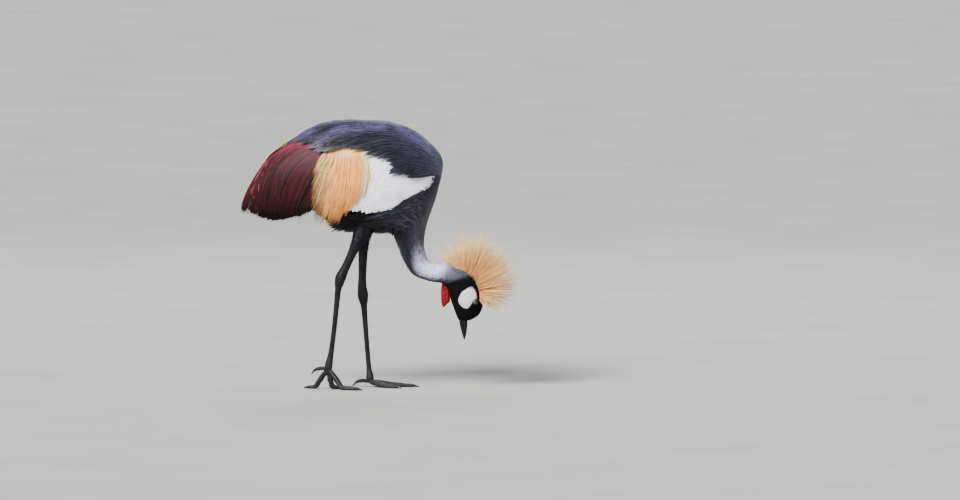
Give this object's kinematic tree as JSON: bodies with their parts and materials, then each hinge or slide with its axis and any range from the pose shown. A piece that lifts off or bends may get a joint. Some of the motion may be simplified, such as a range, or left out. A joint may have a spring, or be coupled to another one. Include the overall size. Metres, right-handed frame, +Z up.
{
  "type": "grey crowned crane model",
  "caption": "Life-size still model of a grey crowned crane walking with its head down to feed, with folded wings, a bristle crest and long black legs.",
  "frame": {"origin": "on the floor under the middle of the bird's bounding box, between the wing tips and the crest", "axes": "+X the way the bird faces, +Y to its left, +Z up"},
  "size_m": [0.6338, 0.207, 0.6168],
  "materials": {
    "slate_feathers": "soft slate-grey body feathers",
    "neck_feathers": "short bluish-grey neck feathers",
    "black_feathers": "velvety black feathers",
    "wing_feathers": "white, gold and chestnut wing feathers",
    "eye": "glossy pale grey-blue iris with a black pupil",
    "bill_horn": "satin black horn",
    "wattle_skin": "folded red skin",
    "leg_skin": "black scaled skin and claws"
  },
  "bodies": {
    "root": {"torso": "slate_feathers", "breast": "slate_feathers", "neck_lower": "neck_feathers", "neck_upper": "neck_feathers", "head": "black_feathers", "eye_right": "eye", "eye_left": "eye", "bill_upper": "bill_horn", "bill_lower": "bill_horn", "wattle": "wattle_skin", "wing_right": "wing_feathers", "wing_left": "wing_feathers", "tail": "black_feathers", "thigh_right": "slate_feathers", "thigh_left": "slate_feathers", "shank_right": "leg_skin", "shank_left": "leg_skin", "tarsus_right": "leg_skin", "tarsus_left": "leg_skin", "foot_right": "leg_skin", "foot_left": "leg_skin"}
  },
  "joints": []
}
